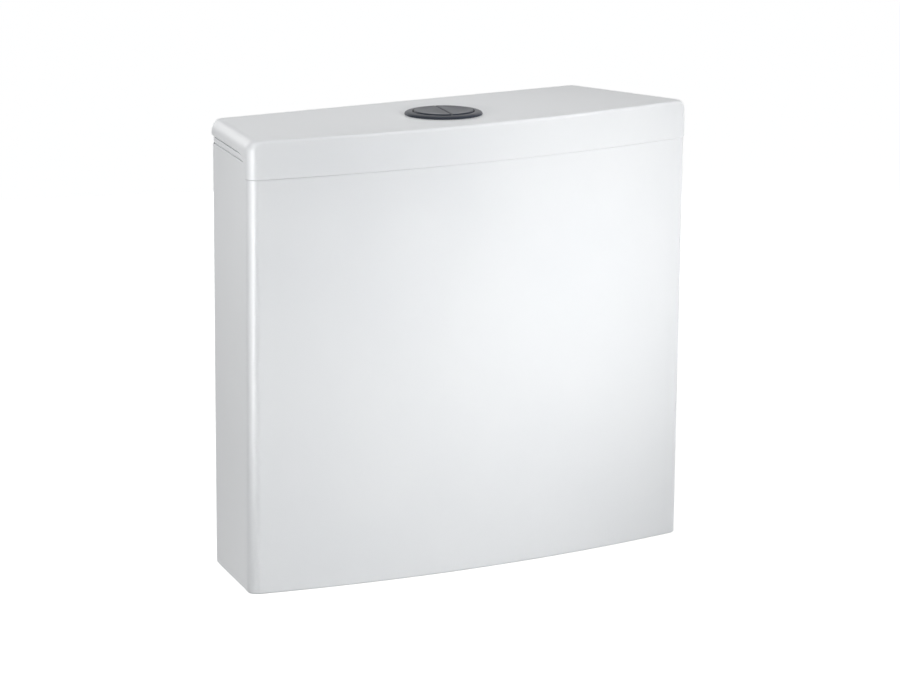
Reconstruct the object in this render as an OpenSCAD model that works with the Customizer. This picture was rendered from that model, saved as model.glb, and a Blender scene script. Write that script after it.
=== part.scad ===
// Wall-hung dual-flush toilet cistern, in millimetres.
// Heights are measured up from the rim that the tank stands on. hung() then moves every piece so that
// the origin lies on the wall, midway between the two fixing holes. The front faces -Y.

/* [Casing] */
// Width of the tank across its front corners before they are rounded
front_w = 428; // [400:1:470]
// Width of the tank at the wall
back_w = 361; // [340:1:385]
// Depth of the side walls at the seam
side_d = 120; // [114:1:140]
// How far the front bows out beyond its corners
front_bow = 21.3; // [14:0.1:32]
// How far the front leans back between the seam and the base
front_lean = 7; // [0:0.5:12]
// Overall height with the lid on
height = 377; // [365:1:430]
// Radius of the front corners seen from above
corner_r = 9; // [7:0.5:14]
// Radius of the corners at the wall
back_r = 4; // [2:0.5:6]
// Thickness of the side walls
wall = 3; // [2.5:0.25:4]
// Width of the rolled band behind each front corner
roll_w = 15; // [11:0.5:18]
// How far that band stands proud of the flat side
side_step = 0.5; // [0.3:0.1:1]
// Rounding of the standing rim
rim_r = 2; // [1:0.25:2.5]
// Rounding of the lower edge at the wall
heel_r = 5; // [4:0.5:10]
// Height of the floor's underside above the rim
floor_rise = 26; // [26:1:32]
// Thickness of the floor
floor_t = 3.5; // [3:0.25:5]

/* [Lid] */
// Depth of the lid at the front
lid_front_h = 32; // [29:1:38]
// Depth of the lid at the sides
lid_side_h = 13; // [11.5:0.5:16]
// Height of the plain band under the sides of the lid
band_h = 7; // [6.5:0.5:9]
// How far that band is set in behind the flat side
band_in = 0.4; // [0.2:0.1:0.8]
// Gap between that band and the lid
side_gap = 0.5; // [0.4:0.1:1]
// Height of the curve where the side of the lid drops to its deep front
grip_r = 6; // [4:0.5:6]
// Length of that curve
grip_l = 16; // [10:1:20]
// Distance from the front corner to the rear edge of the deep front
leg_w = 15.5; // [15.5:0.5:20]
// Thickness of the lid's top
lid_t = 3; // [2.5:0.25:4]
// Thickness of the lid's skirt
lid_wall = 2.8; // [2.25:0.25:3.5]
// How far the lid overhangs the tank
lid_over = 0.8; // [0.4:0.1:1.4]
// Radius of the lid's upper edges at the sides
lid_round = 10; // [8:0.5:11]
// Radius of its upper edges at the front and the wall
lid_front_round = 2.5; // [1.5:0.25:3]
// Visible gap of the front seam
seam_gap = 0.4; // [0.3:0.1:1]
// How far the tank's neck is set in behind the lid's skirt
neck_in = 2.6; // [2.4:0.1:3.4]
// Depth of the rib by which the lid rests on the neck
lid_rib_h = 7; // [5:0.5:8]

/* [Wall fixing] */
// Depth of the two fixing holes below the lid's top
fixing_drop = 59; // [50:1:75]
// Distance between the fixing holes
fixing_pitch = 240; // [200:5:280]
// Diameter of the fixing holes
fixing_d = 7; // [5:0.5:9]
// Diameter of the thickened pad around each hole
fixing_pad_d = 26; // [20:1:32]

/* [Button] */
// Distance of the button and flush valve from the wall
valve_y = 72; // [66:1:74]
// Turn of the button and flush valve about their own axis
valve_turn = -15.7; // [-30:0.1:30]
// Diameter of the trim ring
bezel_d = 65; // [64.5:0.5:69]
// Diameter of the pair of buttons
button_d = 50.4; // [49.5:0.1:50.5]
// Gap between the two buttons
split = 0.8; // [0.6:0.1:1.4]
// Travel of a button
press = 6; // [4:0.5:7]
// Depth of the seat in which the trim ring lies
seat_depth = 1.5; // [1.2:0.1:2.6]
// Diameter over which the lid dishes down to that seat
dish_d = 96; // [88:1:106]
// Outer diameter of the cage's thread
cage_d = 56.4; // [56:0.1:57]
// Length of the cage below the seat
cage_l = 24; // [22:1:27]
// Offset of each push rod from the centre line
rod_x = 11; // [10.5:0.25:11.5]
// Offset of each push rod towards the front or the wall
rod_y = 4; // [3.5:0.25:4.5]
// Diameter of the push rods
rod_d = 5; // [4:0.25:5.5]
// Diameter of the button stems
stem_d = 9; // [8.5:0.25:10]
// Wire of the return springs
wire_d = 1; // [0.8:0.1:1.2]
// Coils of the return springs
coils = 6; // [4:1:7]

/* [Flush valve] */
// Outer diameter of the outlet thread
outlet_d = 47.8; // [46.5:0.1:48.5]
// Bore of the outlet
outlet_bore_d = 41; // [39:0.5:42]
// Diameter of the flange and cage
valve_d = 88; // [86:1:94]
// Outer diameter of the full-flush tube
full_d = 58; // [57:0.5:58.5]
// Outer diameter of the overflow tube
over_d = 30; // [28:0.5:31]
// Wall of both tubes
tube_wall = 2; // [1.5:0.25:2.5]
// Height of the full-flush tube's rim, the half-flush water line
half_level = 130; // [125:1:150]
// Depth of the overflow tube's rim below the plate that carries the levers
over_drop = 14; // [13:0.5:18]
// Depth of that plate below the lid's top
head_drop = 96; // [95:0.5:97]
// Height of the lever pivots above that plate
pivot_rise = 14; // [13.5:0.25:15]
// Distance of each pivot beyond the centre line
pivot_x = 8; // [8:0.25:8.5]
// Length of a lever from pivot to lifting tip
tip_l = 16; // [15:0.25:16.5]
// Thickness of a lever
lever_t = 6; // [5:0.25:6.5]
// Diameter of the lever pins
pin_d = 3; // [2.5:0.1:3.2]

/* [Fill valve] */
// Distance of the fill valve from the centre line
inlet_x = 125; // [120:1:130]
// Outer diameter of the inlet thread
inlet_d = 20.9; // [20:0.1:21.5]
// Bore of the inlet
inlet_bore_d = 10; // [9:0.5:11]
// Outer diameter of the riser
riser_d = 22; // [21:0.5:23]
// Height of the valve housing's underside
fill_z = 215; // [212:1:225]
// Outer diameter of the float
float_d = 60; // [56:1:62]
// Height of the float
float_h = 55; // [45:1:58]
// Height of the float's underside when the tank is empty
float_z = 120; // [110:1:125]
// Travel of the float
float_rise = 18; // [14:1:18]
// Length of the float lever between pivot and link
float_arm = 42; // [40:1:44]

/* [Clearances] */
// Gap around sliding pieces
slide_gap = 0.4; // [0.3:0.05:0.5]
// Gap at threads and push fits
thread_gap = 0.15; // [0.1:0.05:0.2]
// Gap at the lever pins
pin_gap = 0.04; // [0.02:0.01:0.08]
// Gap under a seal when it is shut
seal_gap = 0.2; // [0.1:0.05:0.3]

/* [Hidden] */
$fn = 64;
eps = 0.01;
half_back = back_w / 2;
half_front = front_w / 2;
side_a = atan((half_front - half_back) / side_d);
side_n = [cos(side_a), sin(side_a)];
side_u = [sin(side_a), -cos(side_a)];
front_r = (half_front * half_front + front_bow * front_bow) / (2 * front_bow);
depth = side_d + front_bow;
fixing_z = height - fixing_drop;
seam_z = height - lid_front_h;
skirt_z = height - lid_side_h;
shoulder_z = skirt_z - side_gap;
band_z = skirt_z - band_h;
neck_top = height - lid_t - lid_rib_h;
crease_y = side_d - roll_w;
leg_y = side_d - leg_w;
neck_back = neck_in + 1.2;
inner_in = wall + side_step;
floor_z = floor_rise + floor_t;
// Button
seat_z = height - seat_depth;
clamp_z = seat_z - lid_t;
cage_r = cage_d / 2;
cage_floor_z = seat_z - cage_l;
cage_floor_t = 3;
flange_t = 1.2;
button_r = button_d / 2;
button_z = seat_z + 3.4;
button_t = 2.2;
// Flush valve
seal_t = 3;
flange_z = floor_z + seal_t;
base_t = 4;
base_z = flange_z + base_t;
seat_top = base_z + 4.5;
full_z = seat_top + seal_gap + seal_t;
full_t = 3;
half_seat = full_z + full_t + 1.2;
over_z = half_seat + seal_gap + seal_t;
full_r = full_d / 2;
over_r = over_d / 2;
head_z = height - head_drop;
over_level = head_z - over_drop;
collar_rise = 13;
collar_t = 3;
float_head = 12;
float_gap = 6;
half_float_r = full_r - tube_wall - 4.5;
valve_r = valve_d / 2;
orifice_r = over_r;
pivot_z = head_z + pivot_rise;
plate_t = 4;
lever_y = 8;
tip_x = pivot_x + tip_l;
tip_r = 2.5;
pad_h = 3;
hook_z = pivot_z + pad_h + slide_gap;
hook_t = 4;
hook_r = norm([tip_x, lever_y]) - 4;
hanger_r = 4;
hanger_a = atan2(-lever_y, -tip_x);
strap_w = 10;
strap_t = 2.5;
strap_r = full_r + 0.4;
guide_z = half_level - 16;
top_guide_z = over_level - 19;
rod_tip_z = pivot_z + pad_h + slide_gap;
nut_t = 12;
tail_z = 1;
thread_h = 0.8;
// Fill valve
inlet_r = inlet_d / 2;
riser_r = riser_d / 2;
float_r = float_d / 2;
link_x = float_r + 1;
float_swing = 2 * asin(float_rise / 2 / float_arm);
fill_pivot_x = link_x - float_arm * cos(float_swing / 2);
fill_head_h = 23;
cap_z = fill_z + fill_head_h;
cap_t = 9;
ear_h = 11;
fill_pivot_z = cap_z + cap_t + ear_h;
drop_gap = 8;
drop_x = float_r + drop_gap;
inlet_nut_t = 8;
inlet_thread_h = 0.5;
filter_rise = 4;
filter_h = 20;
head_r = 19;
chamber_r = 16;
nozzle_r = 9;
spout_r = 8.5;
drop_r = 6.1;
drop_bore_r = 4.8;
link_r = 2;
link_y = 5.3;
lever_r = 4;
arm_t = 5;

function arc_pts(c, r, a0, a1, n) =
  [for (i = [0:n]) let (a = a0 + (a1 - a0) * i / n) c + r * [cos(a), sin(a)]];

// Right half of the casing's outline, from the wall round the front corner to the middle of the front,
// moved inwards by t (t_back at the wall) with the front at depth d.
function half_plan(t, t_back, d) =
  let (
    k = half_back * cos(side_a) - t,
    r = max(corner_r - t, 1),
    rb = max(back_r - max(t, 0), 1),
    c0 = [0, front_r - d],
    b = side_n * (k - r) - c0,
    bu = b * side_u,
    s = sqrt(bu * bu - b * b + (front_r - t - r) * (front_r - t - r)) - bu,
    c = c0 + b + side_u * s,
    a1 = atan2(c[1] - c0[1], c[0]),
    s2 = (t_back + rb + side_n[1] * (k - rb)) / cos(side_a),
    cb = side_n * (k - rb) + side_u * s2,
    bow = arc_pts(c0, front_r - t, a1, -90, 20)
  )
  concat(
    arc_pts(cb, rb, 90, side_a, 4),
    arc_pts(c, r, side_a, a1, 10),
    [for (i = [1:20]) bow[i]]
  );

function plan(t, t_back, d) =
  let (h = half_plan(t, t_back, d), n = len(h))
  concat(h, [for (i = [n - 2:-1:0]) [-h[i][0], h[i][1]]]);

// Depth of the tank's front at height z
function front_at(z) = depth - front_lean * (1 - min(z / seam_z, 1));

// Solid through a stack of outlines, each given as [height, t, t_back, depth of the front]
module loft(levels) {
  rings = [for (l = levels) [for (p = plan(l[1], l[2], l[3])) [p[0], p[1], l[0]]]];
  n = len(rings[0]);
  m = len(rings);
  sides = [for (i = [0:m - 2]) for (j = [0:n - 1])
    let (a = i * n + j, b = i * n + (j + 1) % n)
    each [[a, b, b + n], [a, b + n, a + n]]];
  bottom = [for (j = [n - 1:-1:0]) j];
  top = [for (j = [0:n - 1]) (m - 1) * n + j];
  polyhedron(points = [for (r = rings) each r], faces = concat(sides, [bottom, top]));
}

module prism(z0, z1, t, t_back) {
  translate([0, 0, z0])
    linear_extrude(z1 - z0)
      polygon(plan(t, t_back, depth));
}

module ring(r0, r1, z0, z1) {
  translate([0, 0, z0])
    difference() {
      cylinder(r = r1, h = z1 - z0);
      translate([0, 0, -1])
        cylinder(r = r0, h = z1 - z0 + 2);
    }
}

module rod(r, z0, z1) {
  translate([0, 0, z0])
    cylinder(r = r, h = z1 - z0);
}

module box(p0, p1) {
  translate(p0)
    cube(p1 - p0);
}

module at_valve() {
  translate([0, -valve_y, 0])
    rotate(valve_turn)
      children();
}

module at_inlet(side) {
  translate([side * inlet_x, -valve_y, 0])
    children();
}

module both_sides() {
  children();
  mirror([1, 0, 0])
    children();
}

module hung() {
  translate([0, 0, -fixing_z])
    children();
}

module tank_outside() {
  rim = [for (a = [0:30:90])
    let (z = rim_r * (1 - cos(a)), in = rim_r * (1 - sin(a)))
    [z, in, in, front_at(z)]];
  loft(concat(rim, [[seam_z, 0, 0, depth], [skirt_z + 1, 0, 0, depth]]));
}

module tank_cavity() {
  fillet = 4;
  foot = [for (a = [0:30:90])
    let (z = floor_z + fillet * (1 - cos(a)), in = fillet * (1 - sin(a)))
    [z, inner_in + in, wall + in, front_at(z)]];
  loft(concat(foot, [[seam_z - wall, inner_in, wall, front_at(seam_z - wall)]]));
  prism(seam_z - wall - 1, neck_top + 1, neck_in + wall, neck_back + wall);
  intersection() {
    prism(seam_z - wall - 1, shoulder_z - wall, inner_in, wall);
    box([-front_w, 1 + grip_l - leg_y, 0], [front_w, 1, height]);
  }
}

// What lies below the lid's lower edge, kept g away from it
module under_lid(g) {
  curve = [for (a = [90:-10:0])
    [grip_l * (1 - cos(a)) - leg_y + g, skirt_z - grip_r * (1 - sin(a)) - g]];
  rotate([90, 0, 90])
    translate([0, 0, -front_w])
      linear_extrude(2 * front_w)
        polygon(concat([[20, -1], [20, skirt_z - g]], curve, [[g - leg_y, -1]]));
}

// Room for the lid's skirt round the neck
module tank_rebate() {
  difference() {
    box([-front_w - 1, -2 * depth, seam_z], [front_w + 1, 10, skirt_z + 2]);
    under_lid(side_gap);
    prism(seam_z - 1, height, neck_in, neck_back);
  }
}

// Flat side behind the rolled band, whose edge leans with the front, and the band under the lid
module side_recess() {
  lean_u = front_lean / cos(side_a);
  base_u = crease_y / cos(side_a) - lean_u;
  top_u = base_u + lean_u * height / seam_z;
  translate([half_back, 0, 0])
    rotate(side_a - 90)
      translate([0, 20, 0])
        rotate([90, 0, 0]) {
          linear_extrude(20 + side_step)
            polygon([[-20, -1], [base_u, -1], [top_u, height], [-20, height]]);
          linear_extrude(20 + side_step + band_in)
            polygon([[-20, band_z], [top_u, band_z], [top_u, height], [-20, height]]);
        }
}

module tank() {
  color("white") {
    difference() {
      union() {
        tank_outside();
        prism(seam_z - wall, neck_top, neck_in, neck_back);
      }
      tank_cavity();
      tank_rebate();
      both_sides()
        side_recess();
      translate([0, 0, -1])
        linear_extrude(floor_rise + 1)
          polygon(plan(inner_in, wall + 0.5, front_at(0)));
      difference() {
        box([-front_w, -heel_r, -1], [front_w, 1, heel_r]);
        translate([0, 0.1 - heel_r, heel_r - 0.1])
          rotate([0, 90, 0])
            cylinder(r = heel_r, h = 2 * front_w + 2, center = true);
      }
      at_valve()
        rod(outlet_d / 2 + 0.7, 0, height);
      both_sides()
        at_inlet(1)
          rod(inlet_r + 0.7, 0, floor_z + 5);
      fixing_holes();
    }
    difference() {
      both_sides()
        translate([fixing_pitch / 2, -wall - 3.5, fixing_z])
          rotate([-90, 0, 0])
            cylinder(d = fixing_pad_d, h = 4);
      fixing_holes();
    }
  }
}

module fixing_holes() {
  both_sides()
    translate([fixing_pitch / 2, -30, fixing_z])
      rotate([-90, 0, 0])
        cylinder(d = fixing_d, h = 40);
}

// How far an edge rounded to radius r under the height top has come in at height z
function edge_in(r, z, top) = let (h = max(z - top + r, 0)) r - sqrt(r * r - h * h);

module lid_outside() {
  edge = [for (a = [0, 18, 36, 50, 62, 74, 90])
    let (
      z = height - lid_round * (1 - sin(a)),
      in = lid_round * (1 - cos(a)),
      front = edge_in(lid_front_round, z, height)
    )
    [z, in - lid_over, front + 0.5, depth + in - front]];
  loft(concat([[seam_z + seam_gap, -lid_over, 0.5, depth]], edge));
}

module lid_inside() {
  r = lid_round - lid_wall;
  edge = [for (a = [0:18:90])
    let (in = lid_wall + r * (1 - cos(a)))
    [height - lid_t - r * (1 - sin(a)), in - lid_over, lid_wall + 0.5, depth + in - lid_wall]];
  loft(concat([[seam_z - 1, lid_wall - lid_over, lid_wall + 0.5, depth]], edge));
}

module lid() {
  color("white")
    difference() {
      union() {
        difference() {
          lid_outside();
          lid_inside();
        }
        difference() {
          prism(neck_top, height - lid_t + 0.3, neck_in + 1, neck_back + 1);
          prism(neck_top - 1, height, neck_in + wall, neck_back + wall);
        }
        at_valve()
          rod(dish_d / 2 - 4, clamp_z, height - lid_t + 1);
      }
      under_lid(0);
      at_valve() {
        rod(cage_r + slide_gap, 0, height + 1);
        rod(bezel_d / 2 + 0.6, seat_z, height + 1);
        translate([0, 0, seat_z])
          cylinder(r1 = bezel_d / 2 + 0.6, r2 = dish_d / 2, h = seat_depth + eps);
      }
    }
}

module button_bezel() {
  r = bezel_d / 2;
  ri = button_r + 0.5;
  z = seat_z;
  color("DimGray")
    at_valve()
      rotate_extrude()
        polygon([
          [ri, z + flange_t], [r - 1.5, z + flange_t], [r - 1.5, z], [r, z], [r, z + 0.8],
          [r - 0.4, z + 1.4], [r - 1.2, z + 1.9], [r - 3.5, z + 2.8], [ri + 0.8, z + 3.3], [ri, z + 2.8]
        ]);
}

module button_cage() {
  color("DarkSlateGray")
    at_valve()
      difference() {
        union() {
          rod(cage_r, cage_floor_z, seat_z + 0.5);
          rod(bezel_d / 2 - 1.7, seat_z, seat_z + flange_t);
        }
        rod(cage_r - 1.8, cage_floor_z + cage_floor_t, seat_z + 5);
        for (a = [0, 180])
          rotate(a)
            translate([rod_x, -rod_y, 0])
              rod(stem_d / 2 + 0.3, 0, height);
      }
}

module button_nut() {
  color("SlateGray")
    at_valve()
      difference() {
        union() {
          rod(cage_r + 6, clamp_z - 7, clamp_z);
          for (a = [25:60:340])
            rotate(a)
              box([cage_r + 3, -3, clamp_z - 7], [cage_r + 9, 3, clamp_z - 1]);
        }
        rod(cage_r + thread_gap, 0, height);
      }
}

// The right half of the button; the left one is the same piece turned round
module button() {
  difference() {
    intersection() {
      union() {
        rod(button_r, seat_z - 7, button_z - 0.6);
        translate([0, 0, button_z - 0.6 - eps])
          cylinder(r1 = button_r, r2 = button_r - 1.2, h = 0.6 + eps);
      }
      box([split / 2, -button_r - 1, 0], [button_r + 1, button_r + 1, height + 20]);
    }
    intersection() {
      rod(button_r - 1.6, 0, button_z - button_t);
      box([split / 2 + 1.6, -button_r, 0], [button_r, button_r, height]);
    }
  }
  translate([rod_x, -rod_y, 0])
    difference() {
      rod(stem_d / 2, cage_floor_z - 0.3, button_z - 1);
      rod(rod_d / 2 + 0.1, 0, cage_floor_z + 10);
    }
}

module full_button() {
  color("DimGray")
    at_valve()
      button();
}

module half_button() {
  color("DimGray")
    at_valve()
      rotate(180)
        button();
}

// Centre line of a return spring: its ends lie level, its coils climb between them
spring_r = stem_d / 2 + 0.5 + wire_d;
spring_z0 = cage_floor_z + cage_floor_t + wire_d / 2 + 0.05;
spring_z1 = button_z - button_t - wire_d / 2 - 0.05;
spring_n = 8 * (coils + 2);
function spring_lift(i) =
  spring_z0 + (spring_z1 - spring_z0) * min(max((i / 8 - 0.5) / (coils + 1), 0), 1);
spring_pts = [for (i = [0:spring_n]) [
  spring_r * cos(45 * i), spring_r * sin(45 * i), spring_lift(i)
]];
spring_self_gap = min([for (i = [0:spring_n - 8]) norm(spring_pts[i + 8] - spring_pts[i]) - wire_d]);
echo(spring_self_gap = spring_self_gap);

module spring() {
  n = len(spring_pts);
  points = [for (i = [0:n - 1]) for (j = [0:5])
    let (c = spring_pts[i], a = 45 * i, w = wire_d / 2)
    [
      c[0] + w * cos(60 * j) * cos(a),
      c[1] + w * cos(60 * j) * sin(a),
      c[2] + w * sin(60 * j)
    ]];
  sides = [for (i = [0:n - 2]) for (j = [0:5])
    let (k = (j + 1) % 6)
    [6 * i + j, 6 * i + k, 6 * (i + 1) + k, 6 * (i + 1) + j]];
  first = [5, 4, 3, 2, 1, 0];
  last = [for (j = [0:5]) 6 * (n - 1) + j];
  polyhedron(points = points, faces = concat(sides, [first, last]));
}

module full_spring() {
  color("Silver")
    at_valve()
      translate([rod_x, -rod_y, 0])
        spring();
}

module half_spring() {
  color("Silver")
    at_valve()
      rotate(180)
        translate([rod_x, -rod_y, 0])
          spring();
}

module push_rod() {
  translate([rod_x, -rod_y, 0]) {
    rod(rod_d / 2, rod_tip_z + 1, cage_floor_z + 9);
    translate([0, 0, rod_tip_z])
      cylinder(r1 = rod_d / 2 - 1, r2 = rod_d / 2, h = 1);
    rod(stem_d / 2 + 2, cage_floor_z - 4.3, cage_floor_z - 0.3);
  }
}

module full_rod() {
  color("WhiteSmoke")
    at_valve()
      push_rod();
}

module half_rod() {
  color("WhiteSmoke")
    at_valve()
      rotate(180)
        push_rod();
}

module valve_base() {
  r = outlet_d / 2;
  color("Gainsboro")
    at_valve()
      difference() {
        union() {
          rod(r - thread_h, tail_z + 12, flange_z + 1);
          rod(r, tail_z, tail_z + 12.5);
          rod(valve_r, flange_z, base_z);
          rod(outlet_bore_d / 2 + 2.8, base_z - 1, seat_top - 1);
          translate([0, 0, seat_top - 1])
            cylinder(r1 = outlet_bore_d / 2 + 2.8, r2 = outlet_bore_d / 2 + 1, h = 1);
        }
        rod(outlet_bore_d / 2, 0, height);
      }
}

module outlet_seal() {
  color([0.12, 0.12, 0.12])
    at_valve()
      ring(outlet_d / 2 + 0.5, outlet_d / 2 + 12, floor_z, flange_z);
}

module outlet_nut() {
  r = outlet_d / 2 + 6;
  color("Gainsboro")
    at_valve()
      difference() {
        union() {
          rod(r, floor_rise - nut_t, floor_rise);
          for (a = [25:60:340])
            rotate(a)
              box([r - 3, -4, floor_rise - nut_t], [r + 3.5, 4, floor_rise - 1]);
        }
        rod(outlet_d / 2 - thread_h + thread_gap, 0, height);
      }
}

// Way through a guide ring for the full tube's strap
module strap_slot(z0, z1) {
  rotate(hanger_a)
    box([strap_r - 0.8, -strap_w / 2 - 1, z0], [strap_r + strap_t + 0.8, strap_w / 2 + 1, z1]);
}

module valve_cage() {
  color("LightSteelBlue")
    at_valve()
      difference() {
        union() {
          ring(valve_r - 5, valve_r, base_z, base_z + 6);
          intersection() {
            ring(valve_r - 5, valve_r, base_z, head_z);
            for (a = [45, 135])
              rotate(a)
                box([-valve_r, -6, base_z], [valve_r, 6, head_z]);
          }
          ring(full_r + slide_gap, valve_r, guide_z, guide_z + plate_t);
          ring(over_r + slide_gap, valve_r, top_guide_z, top_guide_z + plate_t);
        }
        strap_slot(top_guide_z - 1, top_guide_z + plate_t + 1);
        for (a = [0:90:270])
          rotate(a + 65)
            translate([(over_r + valve_r) / 2, 0, 0])
              rod(6, top_guide_z - 1, top_guide_z + plate_t + 1);
      }
}

// Two ears that hold the full lever's pin
module ears() {
  for (y = [-lever_y - lever_t / 2 - 3.5, -lever_y + lever_t / 2 + 0.5])
    difference() {
      union() {
        box([-pivot_x - 3.5, y, head_z + 1], [-pivot_x + 3.5, y + 3, pivot_z]);
        translate([-pivot_x, y, pivot_z])
          rotate([-90, 0, 0])
            cylinder(r = 3.5, h = 3);
      }
      translate([-pivot_x, y - 1, pivot_z])
        rotate([-90, 0, 0])
          cylinder(r = pin_d / 2 + pin_gap, h = 5);
    }
}

module valve_head() {
  color("SteelBlue")
    at_valve()
      difference() {
        union() {
          rod(valve_r, head_z, head_z + plate_t);
          ears();
          rotate(180)
            ears();
        }
        rod(hanger_r + slide_gap, 0, height);
        strap_slot(0, height);
        for (a = [60, 120, 240, 300])
          rotate(a)
            translate([valve_r - 13, 0, 0])
              rod(7, 0, head_z + plate_t + 1);
      }
}

// The full lever: pad on the right under its push rod, lifting tip on the left
module lever() {
  y0 = -lever_y - lever_t / 2;
  y1 = -lever_y + lever_t / 2;
  difference() {
    union() {
      box([-tip_x, y0, pivot_z - 2.5], [rod_x + 4.5, y1, pivot_z + 2]);
      translate([-tip_x, y0, pivot_z + pad_h - tip_r])
        rotate([-90, 0, 0])
          cylinder(r = tip_r, h = lever_t);
      translate([-pivot_x, y0, pivot_z])
        rotate([-90, 0, 0])
          cylinder(r = 3, h = lever_t);
      box([rod_x - 4.5, y0, pivot_z], [rod_x + 4.5, 3.5 - rod_y, pivot_z + pad_h]);
    }
    translate([-pivot_x, y0 - 1, pivot_z])
      rotate([-90, 0, 0])
        cylinder(r = pin_d / 2 + pin_gap, h = lever_t + 2);
  }
}

module full_lever() {
  color("Orange")
    at_valve()
      lever();
}

module half_lever() {
  color("Gold")
    at_valve()
      rotate(180)
        lever();
}

module lever_pins() {
  color("Silver")
    at_valve()
      for (a = [0, 180])
        rotate(a)
          translate([-pivot_x, -lever_y - lever_t / 2 - 3.5, pivot_z])
            rotate([-90, 0, 0])
              cylinder(d = pin_d, h = lever_t + 7);
}

module full_tube() {
  color("AliceBlue")
    at_valve()
      difference() {
        union() {
          rod(full_r, full_z, half_level);
          rod(full_r + 2, full_z + collar_rise, full_z + collar_rise + collar_t);
          rod(strap_r + strap_t + 0.7, half_level - 10, half_level - 4);
          rotate(hanger_a) {
            box([strap_r, -strap_w / 2, half_level - 8], [strap_r + strap_t, strap_w / 2, hook_z + hook_t]);
            box([hook_r, -strap_w / 2, hook_z], [strap_r + 1, strap_w / 2, hook_z + hook_t]);
          }
        }
        difference() {
          rod(full_r - tube_wall, full_z + full_t, half_level + 1);
          ring(orifice_r, orifice_r + 3, full_z, half_seat - 0.5);
          translate([0, 0, half_seat - 0.5])
            difference() {
              cylinder(r1 = orifice_r + 3, r2 = orifice_r + 2, h = 0.5);
              translate([0, 0, -1])
                cylinder(r = orifice_r, h = 3);
            }
        }
        rod(orifice_r, 0, half_seat);
      }
}

module full_seal() {
  color([0.12, 0.12, 0.12])
    at_valve()
      ring(orifice_r, full_r, full_z - seal_t, full_z);
}

// A float is an inverted cup round its tube
module cup(r0, r1, z0, z1, t) {
  difference() {
    rod(r1, z0, z1);
    rod(r0, z0 - 1, z1 + 1);
    difference() {
      rod(r1 - t, z0 - 1, z1 - t);
      rod(r0 + t, z0 - 2, z1);
    }
  }
}

module full_float() {
  color("LightYellow")
    at_valve()
      cup(full_r + 0.1, valve_r - float_gap, full_z + collar_rise + collar_t, guide_z - float_head, 1.5);
}

module overflow_tube() {
  color("White")
    at_valve() {
      ring(over_r - tube_wall, over_r, over_z, over_level);
      ring(over_r - tube_wall, over_r + 5, over_z, over_z + 2);
      ring(over_r - 0.5, over_r + 2, over_z + collar_rise, over_z + collar_rise + collar_t);
    }
}

// Rod whose three vanes are pressed into the mouth of the overflow tube
module lift_rod() {
  color("WhiteSmoke")
    at_valve() {
      rod(hanger_r, over_level - 8, hook_z + hook_t);
      intersection() {
        rod(over_r - tube_wall - 0.05, over_level - 8, over_level - 2);
        for (a = [0, 60, 120])
          rotate(a)
            box([-over_r, -1, 0], [over_r, 1, height]);
      }
    }
}

module half_seal() {
  color([0.12, 0.12, 0.12])
    at_valve()
      ring(over_r - tube_wall, over_r + 5, over_z - seal_t, over_z);
}

module half_float() {
  color("LightYellow")
    at_valve()
      cup(over_r + 0.1, half_float_r, over_z + collar_rise + collar_t, half_level - float_head, 1.5);
}

module lift_bar() {
  color("Gold")
    at_valve()
      difference() {
        union() {
          rod(hanger_r + 2.5, hook_z, hook_z + hook_t);
          box([-4, lever_y - lever_t / 2, hook_z], [tip_x + 3, lever_y + lever_t / 2, hook_z + hook_t]);
        }
        rod(hanger_r + 0.05, 0, height);
        box([4.5, -20, 0], [20, lever_y - lever_t / 2, height]);
      }
}

// Tail and flange shared by the fill valve and the blank
module tail(z0) {
  rod(inlet_r, z0, min(z0 + 16, floor_rise - inlet_nut_t - 0.5));
  rod(inlet_r - inlet_thread_h, z0 + 1, flange_z + 1);
  rod(inlet_r + 6.5, flange_z, base_z);
}

module fill_body() {
  color("Gainsboro")
    at_inlet(1)
      difference() {
        union() {
          tail(tail_z);
          rod(riser_r, base_z - 1, fill_z);
          rod(riser_r + 3, base_z - 1, base_z + 12);
          rod(riser_r + 2.5, float_z - 6, float_z - 0.5);
        }
        rod(inlet_bore_d / 2, 0, fill_z + 1);
      }
}

module washer() {
  ring(inlet_r + 0.3, inlet_r + 6, floor_z, flange_z);
}

module hex_nut() {
  difference() {
    translate([0, 0, floor_rise - inlet_nut_t])
      cylinder(d = 34.6, h = inlet_nut_t, $fn = 6);
    rod(inlet_r - inlet_thread_h + thread_gap, 0, height);
  }
}

module inlet_seal() {
  color([0.12, 0.12, 0.12])
    at_inlet(1)
      washer();
}

module inlet_nut() {
  color("Gainsboro")
    at_inlet(1)
      hex_nut();
}

module inlet_filter() {
  r = inlet_bore_d / 2 - 0.1;
  color("LightSkyBlue")
    at_inlet(1)
      difference() {
        rod(r, tail_z + filter_rise, tail_z + filter_rise + filter_h);
        rod(r - 1, 0, tail_z + filter_rise + filter_h - 1);
        for (a = [0:60:300])
          rotate(a)
            box([0, -0.9, tail_z + filter_rise + 4], [r + 1, 0.9, tail_z + filter_rise + filter_h - 3]);
      }
}

module fill_head() {
  color("SteelBlue")
    at_inlet(1) {
      difference() {
        union() {
          rod(head_r, fill_z, cap_z);
          box([-drop_x, -5, fill_z + 4], [0, 5, fill_z + 14]);
          translate([-drop_x, 0, 0])
            rod(spout_r, fill_z - 4, fill_z + 14);
        }
        rod(inlet_bore_d / 2, fill_z - 1, cap_z + 1);
        ring(nozzle_r, chamber_r, fill_z + 5, cap_z + 1);
        rod(chamber_r + 0.3, cap_z - 2, cap_z + 1);
        box([-drop_x, -2.5, fill_z + 6.5], [-nozzle_r - 1, 2.5, fill_z + 11.5]);
        translate([-drop_x, 0, 0]) {
          rod(drop_bore_r, fill_z - 5, fill_z + 11.5);
          rod(drop_r + 0.1, fill_z - 5, fill_z + 2);
        }
      }
    }
}

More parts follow.
